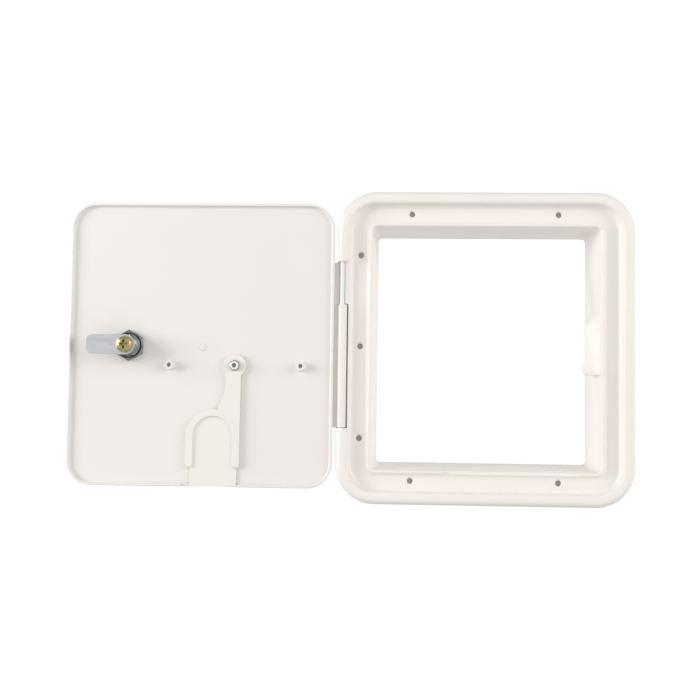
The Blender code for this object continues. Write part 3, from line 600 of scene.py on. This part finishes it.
def cross_recess(centre, top, width, length, depth):
    """Two crossed slots that narrow towards the bottom, as a cross-head driver's tip does."""
    slots = []
    for turn in (0, 1):
        loops = []
        for y, scale in ((top - 1.0 * MM, 1.15), (top, 1.0), (top + depth, 0.45)):
            half = [length / 2 * scale, width / 2 * (0.55 + 0.45 * scale)]
            if turn:
                half.reverse()
            loops.append([Vector((x, y, z)) for x, z in rectangle(centre, *half)])
        slots.append(("DIFFERENCE", loft(loops)))
    return slots


def build_screw(name, centre, seat, head_radius, height, shank, end, material, body, node):
    """A domed pan head on a plain shank."""
    top = seat - height
    profile = [(shank * 0.6, end), (shank, end - 0.8 * MM), (shank, seat), (head_radius - 0.15 * MM, seat)]
    profile += [(head_radius, seat - 0.15 * MM), (head_radius, seat - height * 0.3)]
    for i in range(1, 9):
        turn = math.radians(90 * i / 8)
        radius = head_radius * (0.34 + 0.66 * math.cos(turn))
        profile.append((radius, seat - height * (0.3 + 0.7 * math.sin(turn))))
    steps = cross_recess(centre, top, head_radius * 0.30, head_radius * 1.2, height * 1.1)
    piece(name, turned(profile, centre, 64), steps, material, body, node, 0.08 * MM)


def ring_piece(name, centre, inner, outer, seat, end, material, body, node):
    """A washer from its seat forward to its end."""
    chamfer = 0.12 * MM
    profile = [(inner, seat), (outer - chamfer, seat), (outer, seat - chamfer), (outer, end + chamfer)]
    profile += [(outer - chamfer, end), (inner + chamfer, end), (inner, end + chamfer)]
    piece(name, turned(profile, centre, 96, ring=True), [], material, body, node, 0)


def threaded_barrel(end, start, radius, pitch=1.0 * MM, depth=0.45 * MM):
    """A rod along Y with a helical thread, plain for its last two millimetres beside the face."""
    steps, per_turn = 72, 6
    rows = []
    count = int((start - end) / pitch * per_turn)
    for i in range(count + 1):
        y = end + (start - end) * i / count
        row = []
        for k in range(steps):
            phase = (y / pitch + k / steps) % 1.0
            groove = depth * (1.0 - abs(2.0 * phase - 1.0)) if y < start - 2.0 * MM else 0.0
            lead_in = max(0.0, 0.5 * MM - (y - end))
            r = radius - max(groove, lead_in)
            turn = 2 * math.pi * k / steps
            row.append(Vector((LOCK[0] + r * math.cos(turn), y, LOCK[1] + r * math.sin(turn))))
        rows.append(row)
    return loft(rows)


def build_housing(material):
    """The threaded barrel with two flats, its round face and the stop lug at its inner end."""
    face_back = DOOR_OUTER + 0.15 * MM
    front = face_back + 1.8 * MM
    flats = [box((LOCK[0] - 0.02, BARREL_END - 0.001, LOCK[1] + side * 8 * MM),
                 (LOCK[0] + 0.02, face_back - 0.05 * MM, LOCK[1] + side * 14 * MM)) for side in (1, -1)]
    face = [(12.0 * MM, face_back), (12.0 * MM, face_back + 0.7 * MM)]
    face += arc(11.0 * MM, front - 1.0 * MM, 1.0 * MM, 10, 90, 6)
    bore_radius, recess_radius = 6.15 * MM, 7.3 * MM
    lug = arc(*LOCK, 9.2 * MM, -160, 70, 60) + arc(*LOCK, recess_radius, 70, -160, 60)
    shoulder = face_back + 0.4 * MM
    bore = [(bore_radius, BARREL_END - 3 * MM), (bore_radius, shoulder), (recess_radius, shoulder)]
    bore.append((recess_radius, front + 2 * MM))
    steps = [("DIFFERENCE", together(flats)), ("UNION", turned(face, LOCK, 96))]
    steps.append(("UNION", extruded(lug, BARREL_END + 0.5 * MM, BARREL_END - 1.2 * MM)))
    steps.append(("DIFFERENCE", turned(bore, LOCK, 64)))
    barrel = threaded_barrel(BARREL_END, face_back + 0.6 * MM, BARREL_RADIUS)
    piece("lock_barrel", barrel, steps, material, "door", "lock_housing", 0)


def build_nut(material):
    """The hexagon nut, chamfered at both ends, and its washer."""
    seat = DOOR_INNER - 0.1 * MM
    washer_end = seat - 0.8 * MM
    ring_piece("barrel_washer", LOCK, 9.75 * MM, 11.2 * MM, seat, washer_end, material, "door", "lock_washer")
    start = washer_end - 0.1 * MM
    end = start - 3.6 * MM
    corner = NUT_HALF / math.cos(math.radians(30))
    turns = [math.radians(60 * i) for i in range(6)]
    hexagon = [(LOCK[0] + corner * math.sin(t), LOCK[1] + corner * math.cos(t)) for t in turns]
    cone = [(11.1 * MM, start + 0.01 * MM), (13.4 * MM, start - 1.0 * MM), (13.4 * MM, end + 1.15 * MM),
            (10.9 * MM, end - 0.01 * MM)]
    thread = [(10.4 * MM, start + 1 * MM), (9.75 * MM, start - 0.5 * MM), (9.75 * MM, end + 0.5 * MM),
              (10.5 * MM, end - 0.3 * MM)]
    steps = [("INTERSECT", turned(cone, LOCK, 96)), ("DIFFERENCE", turned(thread, LOCK, 96))]
    piece("barrel_nut", extruded(hexagon, start, end), steps, material, "door", "lock_nut", 0.12 * MM, 20)


def tang_hole():
    """The cut of a square hole for the plug's tang."""
    return [("DIFFERENCE", extruded(rectangle(LOCK, TANG_HOLE, TANG_HOLE), 0.0, -40 * MM))]


def build_cam_stack(steel, cam_metal, zinc):
    """What turns at the barrel's inner end: the stop washer, the cam, a washer and the screw."""
    start = BARREL_END - 0.1 * MM
    stop_end = start - 1.1 * MM
    tooth = arc(*LOCK, 9.0 * MM, 165, 195, 12)
    stop = extruded(tooth + arc(*LOCK, 6.9 * MM, 200, 520, 80), start, stop_end)
    piece("cam_stop_washer", stop, tang_hole(), steel, "latch", "stop_washer", 0.1 * MM)
    cam_start = stop_end - 0.15 * MM
    cam_end = cam_start - 2.0 * MM
    half, tip_half, tip_round = 8.1 * MM, 7.6 * MM, 5.2 * MM
    tip = LOCK[0] - 31.5 * MM
    outline = arc(*LOCK, half, -88, 88, 40)
    outline += arc(tip + tip_round, LOCK[1] + tip_half - tip_round, tip_round, 90, 180, 12)
    outline += arc(tip + tip_round, LOCK[1] - tip_half + tip_round, tip_round, 180, 270, 12)
    cam = extruded(outline, cam_start, cam_end)
    piece("lock_cam", cam, tang_hole(), cam_metal, "latch", "cam", 0.22 * MM)
    seat = cam_end - 0.25 * MM
    washer_end = seat - 0.9 * MM
    ring_piece("cam_screw_washer", LOCK, 2.75 * MM, 6.6 * MM, seat, washer_end, zinc, "latch", "cam_washer")
    build_screw("cam_retaining_screw", LOCK, washer_end - 0.1 * MM, 5.8 * MM, 2.6 * MM, 2.1 * MM,
                DOOR_INNER - 14.3 * MM, zinc, "latch", "cam_screw")


def build_flap_fasteners(washer, screw, shadow):
    """The steel washer and the plastic screw, with a hexagon socket, that hold the flap on its boss; the
    socket's inside gets painted shade.
    """
    seat = DOOR_INNER - 3.9 * MM
    end = seat - 0.8 * MM
    ring_piece("flap_pivot_washer", PIVOT, 2.1 * MM, 4.2 * MM, seat, end, washer, "door", "flap_washer")
    seat -= 0.9 * MM
    top, shank, head, end = seat - 2.3 * MM, 1.45 * MM, 3.4 * MM, DOOR_INNER - 0.6 * MM
    profile = [(shank * 0.6, end), (shank, end - 0.8 * MM), (shank, seat), (head - 0.15 * MM, seat)]
    profile += [(head, seat - 0.15 * MM), (head, top + 0.8 * MM)]
    for i in range(1, 7):
        turn = math.radians(90 * i / 6)
        profile.append((head - 0.6 * MM * (1 - math.cos(turn)), top + 0.8 * MM * (1 - math.sin(turn))))
    socket = turned([(2.0 * MM, top + 1.5 * MM), (2.0 * MM, top - 1.0 * MM)], PIVOT, 6)
    steps = [("DIFFERENCE", socket)]
    obj = piece("flap_pivot_screw", turned(profile, PIVOT), steps, screw, "door", "flap_screw", 0.1 * MM)
    # painted shade on the faces inside the socket
    paint_shade_in_holes(obj, [PIVOT], 2.05 * MM, top + 0.15 * MM, top + 1.6 * MM, shadow)


# ---------------------------------------------------------------- stage

def build_camera():
    """The photograph's camera, from a fit to the frame's edges and screw holes."""
    camera = bpy.data.cameras.new("camera")
    camera.sensor_width = SENSOR_WIDTH_MM
    camera.lens = LENS_MM
    obj = bpy.data.objects.new("camera", camera)
    bpy.context.scene.collection.objects.link(obj)
    obj.matrix_world = CAMERA_POSE
    bpy.context.scene.camera = obj


def area_light(name, left_degrees, up_degrees, power):
    """A large square softbox, placed by its angles to the left of the hatch's front and upwards."""
    light = bpy.data.lights.new(name, "AREA")
    light.shape = "SQUARE"
    light.size = 1.0
    light.energy = power
    left, up = math.radians(left_degrees), math.radians(up_degrees)
    direction = Vector((-math.sin(left) * math.cos(up), -math.cos(left) * math.cos(up), math.sin(up)))
    obj = bpy.data.objects.new(name, light)
    obj.location = LIT_POINT + LIGHT_DISTANCE * direction
    obj.rotation_euler = (-direction).to_track_quat("-Z", "Y").to_euler()
    bpy.context.scene.collection.objects.link(obj)


def light_tent(world):
    """A soft white surround, with a strength of its own from each of six sides."""
    tree = world.node_tree
    background = tree.nodes["Background"]
    background.inputs["Color"].default_value = (1.0, 1.0, 1.0, 1.0)
    direction = tree.nodes.new("ShaderNodeTexCoord").outputs["Generated"]
    total = None
    for axis, strength in TENT_SIDES:
        facing = tree.nodes.new("ShaderNodeVectorMath")
        facing.operation = "DOT_PRODUCT"
        facing.inputs[1].default_value = [strength * part for part in axis]
        tree.links.new(direction, facing.inputs[0])
        lit = tree.nodes.new("ShaderNodeMath")
        lit.operation = "MAXIMUM"
        lit.inputs[1].default_value = 0.0
        tree.links.new(facing.outputs["Value"], lit.inputs[0])
        if total is None:
            total = lit.outputs[0]
            continue
        added = tree.nodes.new("ShaderNodeMath")
        tree.links.new(total, added.inputs[0])
        tree.links.new(lit.outputs[0], added.inputs[1])
        total = added.outputs[0]
    tree.links.new(total, background.inputs["Strength"])


def build_studio():
    """A glowing white floor and back wall that only the camera sees, and the lights."""
    mesh = bpy.data.meshes.new("floor")
    corners = [(-4, -3, FLOOR_Z), (4, -3, FLOOR_Z), (4, WALL_Y, FLOOR_Z), (-4, WALL_Y, FLOOR_Z)]
    corners += [(-4, WALL_Y, 3), (4, WALL_Y, 3)]
    mesh.from_pydata(corners, [], [(0, 1, 2, 3), (3, 2, 5, 4)])
    floor = bpy.data.objects.new("floor", mesh)
    bpy.context.scene.collection.objects.link(floor)
    paper = Nodes("studio_paper")
    paper.shader.inputs["Base Color"].default_value = (0.0, 0.0, 0.0, 1.0)
    paper.shader.inputs["Emission Color"].default_value = (1.0, 1.0, 1.0, 1.0)
    paper.shader.inputs["Emission Strength"].default_value = 1.0
    mesh.materials.append(paper.material)
    floor.visible_diffuse = False
    floor.visible_glossy = False
    floor.visible_shadow = False
    world = bpy.data.worlds.new("world")
    bpy.context.scene.world = world
    world.use_nodes = True
    light_tent(world)
    area_light("key", 65.0, 10.0, 23.5)
    area_light("fill", -60.0, 15.0, 11.1)
    bpy.context.scene.view_settings.view_transform = "Standard"


# ---------------------------------------------------------------- assembly

def main():
    build_camera()
    build_studio()
    white = moulded_plastic("white_plastic_frame", (0.923, 0.871, 0.819))
    # a soft dark brown patch on the door's raised free edge, level with the lock's cam
    edge_patch = ((-0.3345, -0.0070, -0.0020), (0.0035, 0.0070, 0.0095))
    door_white = moulded_plastic("white_plastic_door", (0.868, 0.830, 0.793), mark=edge_patch)
    cream = moulded_plastic("cream_plastic_flap", (0.890, 0.856, 0.784))
    acetal = moulded_plastic("acetal_rod", (0.88, 0.87, 0.84), 0.28)
    nickel = turned_metal("nickel_plate", (0.29, 0.32, 0.31), 0.24, LOCK)
    pivot_metal = turned_metal("pivot_nickel_plate", (0.40, 0.40, 0.39), 0.34, PIVOT)
    cam_metal = plated("cam_zinc_plate", (0.66, 0.67, 0.70), 0.42, 0.05, (0.12, 1.0, 1.0))
    zinc = turned_metal("yellow_zinc_plate", (0.50, 0.43, 0.20), 0.30, LOCK, 0.22, (0.50, 0.52, 0.30))
    brass = turned_metal("plug_brass", (0.74, 0.58, 0.28), 0.3, LOCK, 0.1)
    spring = plated("spring_wire", (0.52, 0.52, 0.53), 0.3, 0.08)
    # a darker plastic used as painted shade inside the screw holes and inside the pivot screw's socket
    hole_shadow = moulded_plastic("painted_hole_shade", (0.40, 0.37, 0.32), 0.6)
    build_frame(white, hole_shadow)
    build_pin(acetal)
    build_door(door_white)
    build_flap(cream)
    build_flap_fasteners(pivot_metal, acetal, hole_shadow)
    build_housing(nickel)
    build_nut(nickel)
    build_cam_stack(nickel, cam_metal, zinc)
    for name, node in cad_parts.items():
        if name == "lock_plug" or name.startswith("wafer"):
            node.data.materials.clear()
            node.data.materials.append(spring if "spring" in name else brass)


main()
